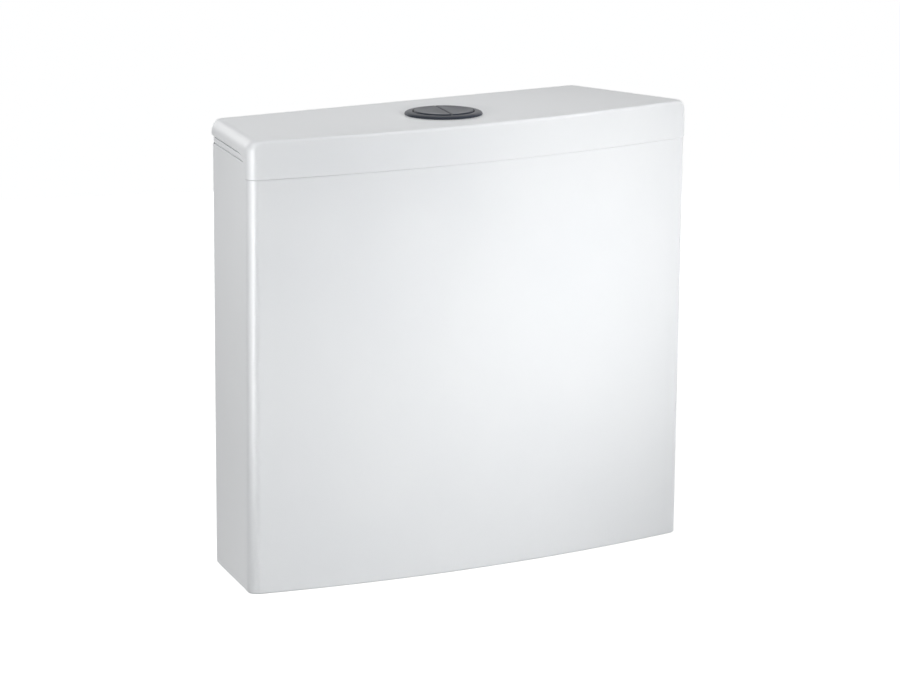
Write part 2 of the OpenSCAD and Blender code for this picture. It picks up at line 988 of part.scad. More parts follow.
module diaphragm() {
  color([0.12, 0.12, 0.12])
    at_inlet(1)
      ring(1, chamber_r + 0.2, cap_z - 2, cap_z);
}

module fill_cap() {
  color("DodgerBlue")
    at_inlet(1)
      difference() {
        union() {
          rod(head_r + 1, cap_z, cap_z + cap_t);
          for (y = [-6, 3])
            translate([fill_pivot_x, y, 0]) {
              box([-4, 0, cap_z + cap_t - 1], [4, 3, fill_pivot_z]);
              translate([0, 0, fill_pivot_z])
                rotate([-90, 0, 0])
                  cylinder(r = 4, h = 3);
            }
        }
        rod(chamber_r - 4, cap_z - 1, cap_z + 4);
        translate([fill_pivot_x, -10, fill_pivot_z])
          rotate([-90, 0, 0])
            cylinder(r = pin_d / 2 + pin_gap, h = 20);
      }
}

module drop_tube() {
  color("Gainsboro")
    at_inlet(1)
      translate([-drop_x, 0, 0])
        ring(drop_bore_r, drop_r, floor_z + 20, fill_z + 2);
}

module float_cup() {
  color("LightYellow")
    at_inlet(1)
      difference() {
        union() {
          cup(riser_r + slide_gap, float_r, float_z, float_z + float_h, 1.5);
          box([float_r - 1, 1, float_z + float_h - 5], [link_x + 5, 9.5, float_z + float_h]);
        }
        translate([link_x, link_y, 0])
          rod(link_r + 0.05, 0, height);
      }
}

module float_link() {
  z = fill_pivot_z - float_arm * sin(float_swing / 2);
  color("Silver")
    at_inlet(1) {
      translate([link_x, link_y, 0]) {
        rod(link_r, float_z + float_h - 9, z + 4);
        rod(3.2, float_z + float_h, float_z + float_h + 4);
      }
      translate([link_x, -4.5, z])
        rotate([-90, 0, 0])
          cylinder(r = 1.5, h = 10);
    }
}

module fill_lever() {
  color("Orange")
    at_inlet(1)
      translate([fill_pivot_x, 0, fill_pivot_z])
        rotate([0, float_swing / 2, 0])
          difference() {
            union() {
              box([-2, -arm_t / 2, -arm_t / 2], [float_arm + 5, arm_t / 2, arm_t / 2]);
              for (x = [0, float_arm + 5])
                translate([x, -arm_t / 2, 0])
                  rotate([-90, 0, 0])
                    cylinder(r = lever_r, h = arm_t);
              box([float_arm - 5, -arm_t / 2, -lever_r], [float_arm + 5, arm_t / 2, lever_r]);
            }
            translate([0, -3, 0])
              rotate([-90, 0, 0])
                cylinder(r = pin_d / 2 + pin_gap, h = 6);
            box([float_arm - 2.6, -3, -1.9], [float_arm + 3, 3, 1.9]);
          }
}

module fill_pin() {
  color("Silver")
    at_inlet(1)
      translate([fill_pivot_x, -6, fill_pivot_z])
        rotate([-90, 0, 0])
          cylinder(d = pin_d, h = 12);
}

module inlet_plug() {
  color("Gainsboro")
    at_inlet(-1)
      difference() {
        tail(floor_rise - inlet_nut_t - 4);
        rod(inlet_r - 2.5, 0, flange_z - 2);
      }
}

module plug_seal() {
  color([0.12, 0.12, 0.12])
    at_inlet(-1)
      washer();
}

module plug_nut() {
  color("Gainsboro")
    at_inlet(-1)
      hex_nut();
}

hung() tank();
hung() lid();
hung() button_bezel();
hung() button_cage();
hung() button_nut();
hung() full_button();
hung() half_button();
hung() full_spring();
hung() half_spring();
hung() full_rod();
hung() half_rod();
hung() valve_base();
hung() outlet_seal();
hung() outlet_nut();
hung() valve_cage();
hung() valve_head();
hung() full_lever();
hung() half_lever();
hung() lever_pins();
hung() full_tube();
hung() full_seal();
hung() full_float();
hung() overflow_tube();
hung() lift_rod();
hung() half_seal();
hung() half_float();
hung() lift_bar();
hung() fill_body();
hung() inlet_seal();
hung() inlet_nut();
hung() inlet_filter();
hung() fill_head();
hung() diaphragm();
hung() fill_cap();
hung() drop_tube();
hung() float_cup();
hung() float_link();
hung() fill_lever();
hung() fill_pin();
hung() inlet_plug();
hung() plug_seal();
hung() plug_nut();
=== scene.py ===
import math

import bmesh
import bpy
from mathutils import Matrix, Vector
from mathutils.geometry import tessellate_polygon


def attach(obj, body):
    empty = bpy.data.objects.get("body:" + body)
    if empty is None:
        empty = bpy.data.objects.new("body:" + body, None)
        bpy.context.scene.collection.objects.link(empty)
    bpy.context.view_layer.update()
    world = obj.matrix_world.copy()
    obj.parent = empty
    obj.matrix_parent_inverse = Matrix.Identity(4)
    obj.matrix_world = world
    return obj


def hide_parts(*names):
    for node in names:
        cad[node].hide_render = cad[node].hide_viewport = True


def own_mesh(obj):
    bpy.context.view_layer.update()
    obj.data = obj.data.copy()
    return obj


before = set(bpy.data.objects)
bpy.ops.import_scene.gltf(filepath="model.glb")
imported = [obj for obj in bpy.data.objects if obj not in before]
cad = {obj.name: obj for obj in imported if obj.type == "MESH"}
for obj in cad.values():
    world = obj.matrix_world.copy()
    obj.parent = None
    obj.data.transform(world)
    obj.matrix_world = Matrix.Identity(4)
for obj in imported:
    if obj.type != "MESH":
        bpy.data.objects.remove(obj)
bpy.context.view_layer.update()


# Tank: one white injection moulding with a bowed, slightly leaning front and flat sides set back behind
# rolled front corners. Its floor is raised above the rim so that the nuts of both valves stay out of sight,
# and a neck stands up inside the lid. It hangs on two screws through the thickened pads of its back wall.
MM = 0.001
FIXING_HEIGHT = 318.0
HALF_BACK, HALF_FRONT = 180.5, 214.0
SIDE_DEPTH, FRONT_BOW, FRONT_LEAN, LEAN_DEPTH = 120.0, 21.3, 7.0, 80.0
DEPTH = SIDE_DEPTH + FRONT_BOW
CORNER_R, BACK_R = 9.0, 4.0
BACK_STEPS, BACK_ARC, CORNER_STEPS, FRONT_STEPS = 5, 6, 14, 28
WALL, BACK_WALL = 3.5, 3.0
RIM_R, HEEL_R = 2.0, 5.0
FLOOR_LOW, FLOOR_TOP, FLOOR_ROUND = 26.0, 29.5, 4.0
SEAM_Z, BAND_Z, SHOULDER_Z, NECK_TOP = 345.0, 357.0, 363.5, 367.0
STEP_Y, CREASE_Y, CREASE_HALF = -104.0, -105.0, 0.75
CURVE_LENGTH, CURVE_HEIGHT = 16.0, 6.0
NECK_OUT, NECK_IN, NECK_BACK = 2.6, 5.6, 1.2
SIDE_SET_BACK, BAND_SET_BACK, SLOT_SET_BACK = 0.5, 0.9, 2.4
VALVE_Y, INLET_X, OUTLET_R, INLET_R = -72.0, 125.0, 24.6, 11.15
SCREW_X, SCREW_R, PAD_R, PAD_Y = 120.0, 3.5, 13.0, -6.5
SIDE_TILT = math.atan2(HALF_FRONT - HALF_BACK, SIDE_DEPTH)
FRONT_R = (HALF_FRONT ** 2 + FRONT_BOW ** 2) / (2 * FRONT_BOW)
# Points along the side, close together where it curves down to the step and at the crease
SIDE_STOPS = (-20, -45, -70, -87.9, -91, -94, -97, -99.4, -101.4, -102.8, -103.6, -103.98,
              -104.02, -104.5, -104.8, -105.2, -105.5, -106.5)


def arc_points(centre, radius, start, end, count):
    angles = [start + (end - start) * i / count for i in range(count + 1)]
    return [(centre[0] + radius * math.cos(a), centre[1] + radius * math.sin(a)) for a in angles]


def smooth_step(x):
    x = min(max(x, 0.0), 1.0)
    return x * x * (3 - 2 * x)


def casing_outline(inset, back_inset, front_depth=DEPTH, set_back=0.0, stops=SIDE_STOPS, corner=None):
    """The casing seen from above in mm, from the middle of the back round by the right-hand side."""
    cos_t, sin_t = math.cos(SIDE_TILT), math.sin(SIDE_TILT)
    side = HALF_BACK * cos_t - inset
    corner = corner or max(CORNER_R - inset, 1.0)
    back = max(BACK_R - max(inset, 0.0), 1.0)
    bow = (0.0, FRONT_R - front_depth)
    bx, by = cos_t * (side - corner), sin_t * (side - corner) - bow[1]
    along = bx * sin_t - by * cos_t
    run = math.sqrt(along ** 2 - bx * bx - by * by + (FRONT_R - inset - corner) ** 2) - along
    centre = (bx + sin_t * run, bow[1] + by - cos_t * run)
    turn = math.atan2(centre[1] - bow[1], centre[0])
    recessed = side - set_back
    back_run = (back_inset + back + sin_t * (recessed - back)) / cos_t
    back_centre = (cos_t * (recessed - back) + sin_t * back_run,
                   sin_t * (recessed - back) - cos_t * back_run)
    back_corner = arc_points(back_centre, back, math.pi / 2, SIDE_TILT, BACK_ARC)
    half = [(back_corner[0][0] * i / BACK_STEPS, back_corner[0][1]) for i in range(BACK_STEPS)]
    half += back_corner
    lean = DEPTH - front_depth if stops is SIDE_STOPS else 0.0
    for y in stops:
        dip = max(1 - abs(y - CREASE_Y - CREASE_HALF) / CREASE_HALF, 0.0)
        here = side - set_back * (1 + dip - smooth_step(CREASE_Y + 0.5 - y))
        y += lean * smooth_step(-y / LEAN_DEPTH)
        half.append(((here - sin_t * y) / cos_t, y))
    half += arc_points(centre, corner, SIDE_TILT, turn, CORNER_STEPS)
    half += arc_points(bow, FRONT_R - inset, turn, -math.pi / 2, FRONT_STEPS)[1:]
    half[-1] = (0.0, half[-1][1])
    return half + [(-x, y) for x, y in reversed(half[1:-1])]


def front_depth_at(z):
    return DEPTH - FRONT_LEAN * (1 - min(z / SEAM_Z, 1.0))


def at_height(outline, heights):
    """Turns an outline in mm and one height, or one per point, into places in metres."""
    if not isinstance(heights, (list, tuple)):
        heights = [heights] * len(outline)
    return [Vector((x, y, z - FIXING_HEIGHT)) * MM for (x, y), z in zip(outline, heights)]


def bridge(bm, low, high):
    for i in range(len(low)):
        j = (i + 1) % len(low)
        bm.faces.new((low[i], low[j], high[j], high[i]))


def skin(bm, rings):
    """Joins rings of places with quads and returns the vertices of each ring."""
    made = [[bm.verts.new(p) for p in ring] for ring in rings]
    for low, high in zip(made, made[1:]):
        bridge(bm, low, high)
    return made


def plate(bm, rim, holes=()):
    """Fills a flat ring of vertices, leaving the holes given as rings of vertices."""
    loops = [rim, *holes]
    flat = [v for loop in loops for v in loop]
    for a, b, c in tessellate_polygon([[v.co for v in loop] for loop in loops]):
        if len({a, b, c}) == 3:
            bm.faces.new((flat[a], flat[b], flat[c]))


def circle(x, y, radius, z, count=48):
    """A level circle of places."""
    turns = [2 * math.pi * i / count for i in range(count)]
    return at_height([(x + radius * math.cos(a), y + radius * math.sin(a)) for a in turns], z)


def upright_circle(x, radius, y, count=40):
    """A circle of places round the axis of a wall screw."""
    turns = [2 * math.pi * i / count for i in range(count)]
    return [Vector((x + radius * math.cos(a), y, radius * math.sin(a))) * MM for a in turns]


def keep_edges(piece, sharp=32):
    """Keeps the clear edges of a smooth piece and evens out its shading between them."""
    piece.data.set_sharp_from_angle(angle=math.radians(sharp))
    even = piece.modifiers.new("even_shading", "WEIGHTED_NORMAL")
    even.keep_sharp = True


def finished(name, bm, sharp=32):
    """Makes an object of a mesh in progress, smooth except where its faces meet at a clear edge."""
    bmesh.ops.remove_doubles(bm, verts=bm.verts, dist=1e-7)
    bmesh.ops.recalc_face_normals(bm, faces=bm.faces)
    mesh = bpy.data.meshes.new(name)
    bm.to_mesh(mesh)
    bm.free()
    mesh.shade_smooth()
    piece = bpy.data.objects.new(name, mesh)
    bpy.context.scene.collection.objects.link(piece)
    keep_edges(piece, sharp)
    return piece


def tank_mesh():
    bm = bmesh.new()
    here = casing_outline(0, 0)
    beside = [y > STEP_Y for _, y in here]

    def levels(at_side, in_front):
        return [at_side if b else in_front for b in beside]

    def above(base, rise):
        return [z + rise for z in base]

    def shoulder(down):
        """Heights of the edge under the lid, or of a line that follows it some way down."""
        line = []
        for (_, y), b in zip(here, beside):
            along = min(max((y - STEP_Y - down) / (CURVE_LENGTH - down), 0.0), 1.0)
            fall = (CURVE_HEIGHT - down) * (1 - math.sqrt(1 - (1 - along) ** 2))
            line.append((SHOULDER_Z - fall if b else SEAM_Z) - down)
        return line

    def ring(inset, back_inset, heights, set_back=SIDE_SET_BACK):
        level = heights if isinstance(heights, (int, float)) else min(heights)
        return at_height(casing_outline(inset, back_inset, front_depth_at(level), set_back), heights)

    # Foot and wall, from the underside of the floor round the rim, whose back rises at the heel
    heel = [HEEL_R - math.sqrt(max(HEEL_R ** 2 - max(y + HEEL_R, 0.0) ** 2, 0.0)) for _, y in here]
    rings = [ring(WALL, WALL, FLOOR_LOW, 0.0), ring(WALL, WALL, heel, 0.0)]
    for a in range(0, 91, 15):
        t = RIM_R * (1 - math.sin(math.radians(a)))
        rings.append(ring(t, t, above(heel, RIM_R * (1 - math.cos(math.radians(a))))))
    rings += [ring(0, 0, z) for z in (FLOOR_LOW, 90.0, 180.0, 270.0, 325.0, 340.0)]

    # Slots below and above the band, as (rise, set back) and (drop, set back), and the edge under the lid
    foot_slot = ((-0.45, SIDE_SET_BACK), (-0.25, SIDE_SET_BACK + 0.1), (-0.15, SIDE_SET_BACK + 0.3),
                 (-0.9, SIDE_SET_BACK + 0.4), (-0.9, SLOT_SET_BACK), (0.5, SLOT_SET_BACK),
                 (0.55, BAND_SET_BACK + 0.3))
    for row, (rise, deep) in enumerate(foot_slot):
        line = levels(BAND_Z + rise, SEAM_Z - 2 + 0.02 * row)
        rings.append(ring(0, deep - SIDE_SET_BACK, line, deep))
    lid_slot = ((1.7, BAND_SET_BACK), (1.65, SLOT_SET_BACK), (0.75, SLOT_SET_BACK), (0.7, BAND_SET_BACK))
    for row, (drop, deep) in enumerate(lid_slot):
        lowest = levels(BAND_Z + 0.6 + 0.01 * row, 0.0)
        rings.append(ring(0, 0, [max(z, low) for z, low in zip(shoulder(drop), lowest)], deep))
    top = shoulder(0.0)
    edge_in, edge_down = 1.1, levels(0.12, 0.65)
    for a in range(0, 91, 30):
        t = edge_in * (1 - math.cos(math.radians(a)))
        line = [z + down * (math.sin(math.radians(a)) - 1) for z, down in zip(top, edge_down)]
        rings.append(ring(t, t, line, BAND_SET_BACK))

    # Neck, inner wall and the rounding down to the floor
    ceiling = levels(SHOULDER_Z - 9.5, SEAM_Z - 3.0)
    neck = [(NECK_OUT - 0.4, top), (NECK_OUT, above(top, 0.4)), (NECK_OUT, NECK_TOP - 0.8),
            (NECK_OUT + 0.25, NECK_TOP - 0.25), (NECK_OUT + 0.8, NECK_TOP), (NECK_IN - 0.8, NECK_TOP),
            (NECK_IN - 0.25, NECK_TOP - 0.25), (NECK_IN, NECK_TOP - 0.8), (NECK_IN, ceiling)]
    rings += [ring(inset, inset + NECK_BACK, z, 0.0) for inset, z in neck]
    rings += [ring(WALL, BACK_WALL, z, 0.0) for z in (ceiling, 325.0, 200.0, 90.0, FLOOR_TOP + FLOOR_ROUND)]
    for a in range(15, 91, 15):
        t = FLOOR_ROUND * (1 - math.cos(math.radians(a)))
        z = FLOOR_TOP + FLOOR_ROUND * (1 - math.sin(math.radians(a)))
        rings.append(ring(WALL + t, BACK_WALL + t, z, 0.0))
    shell = skin(bm, rings)

    ways = [(0, VALVE_Y, OUTLET_R), (INLET_X, VALVE_Y, INLET_R), (-INLET_X, VALVE_Y, INLET_R)]
    through = [skin(bm, [circle(*way, FLOOR_LOW), circle(*way, FLOOR_TOP)]) for way in ways]
    plate(bm, shell[0], [w[0] for w in through])
    plate(bm, shell[-1], [w[1] for w in through])
    on_wall = -BACK_WALL - 0.02
    pad = [(SCREW_R + 0.1, on_wall), (SCREW_R + 0.1, PAD_Y + 0.1), (SCREW_R + 0.3, PAD_Y),
           (PAD_R - 0.6, PAD_Y), (PAD_R, PAD_Y + 0.6), (PAD_R, on_wall)]
    for x in (-SCREW_X, SCREW_X):
        round_pad = skin(bm, [upright_circle(x, radius, y) for radius, y in pad])
        bridge(bm, round_pad[-1], round_pad[0])
    return finished("tank_shell", bm)


def cut_by(piece, cutters):
    """Cuts holes through a piece and throws the cutters away."""
    for cutter in cutters:
        cut = piece.modifiers.new("hole", "BOOLEAN")
        cut.object = cutter
        cut.solver = "EXACT"
        piece.modifiers.move(len(piece.modifiers) - 1, 0)
    shape = bpy.context.evaluated_depsgraph_get()
    cut_mesh = bpy.data.meshes.new_from_object(piece.evaluated_get(shape))
    piece.modifiers.clear()
    piece.data = cut_mesh
    for cutter in cutters:
        bpy.data.objects.remove(cutter)
    keep_edges(piece)


def screw_way(x):
    """A bar along the way of a wall screw, closed at both ends."""
    bm = bmesh.new()
    made = skin(bm, [upright_circle(x, SCREW_R, y) for y in (-30.0, 10.0)])
    plate(bm, made[0])
    plate(bm, made[-1])
    return finished("screw_way", bm)


def gloss_white(name):
    """Glossy white plastic with a faint flow mottle in its colour and gloss and a slightly uneven skin."""
    material = bpy.data.materials.new(name)
    material.use_nodes = True
    tree = material.node_tree
    shader = tree.nodes["Principled BSDF"]
    shader.inputs["IOR"].default_value = 1.49
    place = tree.nodes.new("ShaderNodeTexCoord")
    cloud = tree.nodes.new("ShaderNodeTexNoise")
    cloud.inputs["Scale"].default_value = 9.0
    cloud.inputs["Detail"].default_value = 3.0
    tree.links.new(place.outputs["Object"], cloud.inputs["Vector"])
    tint = tree.nodes.new("ShaderNodeValToRGB")
    tint.color_ramp.elements[0].position = 0.3
    tint.color_ramp.elements[0].color = (0.800, 0.815, 0.830, 1)
    tint.color_ramp.elements[1].position = 0.7
    tint.color_ramp.elements[1].color = (0.825, 0.838, 0.850, 1)
    tree.links.new(cloud.outputs["Fac"], tint.inputs["Fac"])
    tree.links.new(tint.outputs["Color"], shader.inputs["Base Color"])
    gloss = tree.nodes.new("ShaderNodeMapRange")
    gloss.inputs["To Min"].default_value = 0.28
    gloss.inputs["To Max"].default_value = 0.36
    tree.links.new(cloud.outputs["Fac"], gloss.inputs["Value"])
    tree.links.new(gloss.outputs["Result"], shader.inputs["Roughness"])
    peel = tree.nodes.new("ShaderNodeTexNoise")
    peel.inputs["Scale"].default_value = 160.0
    peel.inputs["Detail"].default_value = 1.0
    tree.links.new(place.outputs["Object"], peel.inputs["Vector"])
    bump = tree.nodes.new("ShaderNodeBump")
    bump.inputs["Strength"].default_value = 0.05
    bump.inputs["Distance"].default_value = 0.0004
    tree.links.new(peel.outputs["Fac"], bump.inputs["Height"])
    tree.links.new(bump.outputs["Normal"], shader.inputs["Normal"])
    return material


casing_white = gloss_white("casing_white")
tank = tank_mesh()
cut_by(tank, [screw_way(x) for x in (-SCREW_X, SCREW_X)])
tank.data.materials.append(casing_white)
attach(tank, "tank")
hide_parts("tank")

# Flush valve, fixed pieces: the flanged base with its threaded tail, black rubber seal and winged nut clamp
# the tank's floor. A ribbed cage stands on the flange and carries the blue plate with the lever pivots.
# All are plain mouldings except the drawn steel pins pushed through the ears.
def moulded(name, colour, rough=0.38, spread=0.035, grain=0.06, grain_size=900.0):
    """Plain moulded plastic or rubber: a faint cloud in the colour, uneven gloss and a fine mould texture."""
    material = bpy.data.materials.new(name)
    material.use_nodes = True
    tree = material.node_tree
    shader = tree.nodes["Principled BSDF"]
    place = tree.nodes.new("ShaderNodeTexCoord")
    cloud = tree.nodes.new("ShaderNodeTexNoise")
    cloud.inputs["Scale"].default_value = 45.0
    cloud.inputs["Detail"].default_value = 4.0
    tree.links.new(place.outputs["Object"], cloud.inputs["Vector"])
    tint = tree.nodes.new("ShaderNodeValToRGB")
    tint.color_ramp.elements[0].position = 0.25
    tint.color_ramp.elements[0].color = [max(c * (1 - spread * 2), 0.0) for c in colour] + [1]
    tint.color_ramp.elements[1].position = 0.75
    tint.color_ramp.elements[1].color = [min(c * (1 + spread), 0.9) for c in colour] + [1]
    tree.links.new(cloud.outputs["Fac"], tint.inputs["Fac"])
    tree.links.new(tint.outputs["Color"], shader.inputs["Base Color"])
    gloss = tree.nodes.new("ShaderNodeMapRange")
    gloss.inputs["To Min"].default_value = rough - 0.05
    gloss.inputs["To Max"].default_value = rough + 0.07
    tree.links.new(cloud.outputs["Fac"], gloss.inputs["Value"])
    tree.links.new(gloss.outputs["Result"], shader.inputs["Roughness"])
    texture = tree.nodes.new("ShaderNodeTexNoise")
    texture.inputs["Scale"].default_value = grain_size
    texture.inputs["Detail"].default_value = 2.0
    tree.links.new(place.outputs["Object"], texture.inputs["Vector"])
    bump = tree.nodes.new("ShaderNodeBump")
    bump.name = "mould_texture"
    bump.inputs["Strength"].default_value = grain
    bump.inputs["Distance"].default_value = 0.0004
    tree.links.new(texture.outputs["Fac"], bump.inputs["Height"])
    tree.links.new(bump.outputs["Normal"], shader.inputs["Normal"])
    return material


def threaded(material, x, y, low, high, pitch=2.3):
    """Adds a screw thread to a moulding, wound round the upright axis at x, y between two heights."""
    tree = material.node_tree
    place = tree.nodes.new("ShaderNodeTexCoord")
    parts = tree.nodes.new("ShaderNodeSeparateXYZ")
    tree.links.new(place.outputs["Object"], parts.inputs["Vector"])

    def worked(operation, first, second):
        node = tree.nodes.new("ShaderNodeMath")
        node.operation = operation
        for socket, value in zip(node.inputs, (first, second)):
            if isinstance(value, (int, float)):
                socket.default_value = value
            else:
                tree.links.new(value, socket)
        return node.outputs["Value"]

    turn = worked("ARCTAN2", worked("SUBTRACT", parts.outputs["Y"], y * MM),
                  worked("SUBTRACT", parts.outputs["X"], x * MM))
    climb = worked("SUBTRACT", parts.outputs["Z"], worked("MULTIPLY", turn, pitch * MM / (2 * math.pi)))
    ridge = worked("PINGPONG", climb, pitch * MM / 2)
    inside = worked("MULTIPLY", worked("GREATER_THAN", parts.outputs["Z"], (low - FIXING_HEIGHT) * MM),
                    worked("LESS_THAN", parts.outputs["Z"], (high - FIXING_HEIGHT) * MM))
    height = worked("MULTIPLY", worked("MULTIPLY", ridge, 2 / (pitch * MM)), inside)
    thread = tree.nodes.new("ShaderNodeBump")
    thread.inputs["Strength"].default_value = 0.9
    thread.inputs["Distance"].default_value = pitch * 0.45 * MM
    tree.links.new(height, thread.inputs["Height"])
    tree.links.new(thread.outputs["Normal"], tree.nodes["mould_texture"].inputs["Normal"])
    return material


def drawn_steel(name, lightness=0.62):
    """Bright drawn wire or pin with a fine grain."""
    material = moulded(name, (lightness, lightness, lightness * 1.02), rough=0.28, spread=0.02, grain=0.10)
    material.node_tree.nodes["Principled BSDF"].inputs["Metallic"].default_value = 1.0
    return material


def dress(material, *names):
    for name in names:
        mesh = cad[name].data
        mesh.materials.clear()
        mesh.materials.append(material)


PALE = (0.72, 0.72, 0.70)
pale_plastic = moulded("pale_plastic", PALE)
black_rubber = moulded("black_rubber", (0.022, 0.022, 0.023), rough=0.62, grain=0.14, grain_size=1600.0)
blue_plastic = moulded("blue_plastic", (0.06, 0.19, 0.42))
mist_plastic = moulded("mist_plastic", (0.50, 0.58, 0.66))
steel = drawn_steel("pin_steel")
dress(threaded(moulded("outlet_plastic", PALE), 0, VALVE_Y, 1.5, FLOOR_LOW), "valve_base")
dress(black_rubber, "outlet_seal")
dress(pale_plastic, "outlet_nut")
dress(mist_plastic, "valve_cage")
dress(blue_plastic, "valve_head")
dress(steel, "lever_pins")

# Flush valve, moving pieces: the outer tube serves the full flush and the overflow tube inside it the half
# flush. Each has a rubber seal under its foot and a hollow float, and is drawn up by its own coloured lever.
tube_white = moulded("tube_white", (0.74, 0.76, 0.77), rough=0.32)
float_cream = moulded("float_cream", (0.74, 0.71, 0.60), rough=0.45)
full_orange = moulded("full_orange", (0.72, 0.24, 0.035))
half_yellow = moulded("half_yellow", (0.74, 0.50, 0.05))
dress(tube_white, "full_tube", "overflow_tube", "lift_rod")
dress(black_rubber, "full_seal", "half_seal")
dress(float_cream, "full_float", "half_float")
dress(full_orange, "full_lever")
dress(half_yellow, "half_lever", "lift_bar")

# Fill valve: a riser clamped to the floor by a hexagon nut, with a strainer in its tail, a diaphragm housing
# on top and a cup float sliding on it. The float's wire link turns the orange lever that opens the pilot.
dress(threaded(moulded("inlet_plastic", PALE), INLET_X, VALVE_Y, 1.5, FLOOR_LOW - 0.5, 1.8), "fill_body")
dress(black_rubber, "inlet_seal", "diaphragm")
dress(pale_plastic, "inlet_nut", "drop_tube")
dress(moulded("strainer_blue", (0.25, 0.45, 0.62)), "inlet_filter")
dress(blue_plastic, "fill_head")
dress(moulded("cap_blue", (0.03, 0.24, 0.62)), "fill_cap")
dress(float_cream, "float_cup")
dress(steel, "float_link", "fill_pin")
dress(full_orange, "fill_lever")

# Blank in the spare inlet on the left: a short threaded plug of the same pale plastic as the fill valve's
# riser, clamped to the floor with the same rubber washer and hexagon nut.
dress(threaded(moulded("plug_plastic", PALE), -INLET_X, VALVE_Y, 14.5, FLOOR_LOW - 0.5, 1.8), "inlet_plug")
dress(black_rubber, "plug_seal")
dress(pale_plastic, "plug_nut")

# Lid: a thin white moulding, rounded well over at the sides and tightly at the front. Its skirt is deep in
# front, where it meets the tank at a fine seam, and short along the sides and back, above the tank's plain
# band. A shallow dish leads down to the seat of the trim ring, and a rib underneath rests on the neck.
LID_TOP, LID_OVER, LID_ROUND, LID_FRONT_ROUND = 377.0, 0.8, 10.0, 2.5
LID_WALL, LID_PLATE = 2.8, 3.0
LID_FOOT, SKIRT_Z, LEG_Y, TOE_R = SEAM_Z + 0.15, SHOULDER_Z + 0.5, STEP_Y - 0.5, 0.5
SEAT_Z, SEAT_HOLE_R, BOSS_R, DISH_R = LID_TOP - 1.5, 28.6, 44.0, 51.0
SEAT_LOW = SEAT_Z - LID_PLATE
RIB_OUT, RIB_IN = 3.6, 5.6
# Points along the side at the lid's leg, where the skirt drops to the seam
LEG_STOPS = (-104.55, -104.6, -104.7, -104.9, -105.1, -105.4, -106.5, -108.5)


def skirt_edge(lift):
    """Places (y, z) of the side skirt's lower edge from back to front, moved into the plastic by lift."""
    places = [(y, SKIRT_Z + lift) for y in (-20, -45, -70)]
    for a in range(0, 91, 9):
        turn = math.radians(90 + a)
        places.append((LEG_Y + CURVE_LENGTH + (CURVE_LENGTH + lift) * math.cos(turn),
                       SKIRT_Z - CURVE_HEIGHT + (CURVE_HEIGHT + lift) * math.sin(turn)))
    places += [(LEG_Y - lift, z) for z in (354.0, 350.0, 346.6 + lift)]
    for a in (0, -45, -90):
        turn = math.radians(a)
        places.append((LEG_Y - lift + TOE_R * (math.cos(turn) - 1),
                       LID_FOOT + lift + TOE_R * (math.sin(turn) + 1)))
    return places + [(y, LID_FOOT + lift) for y in LEG_STOPS[-2:]]


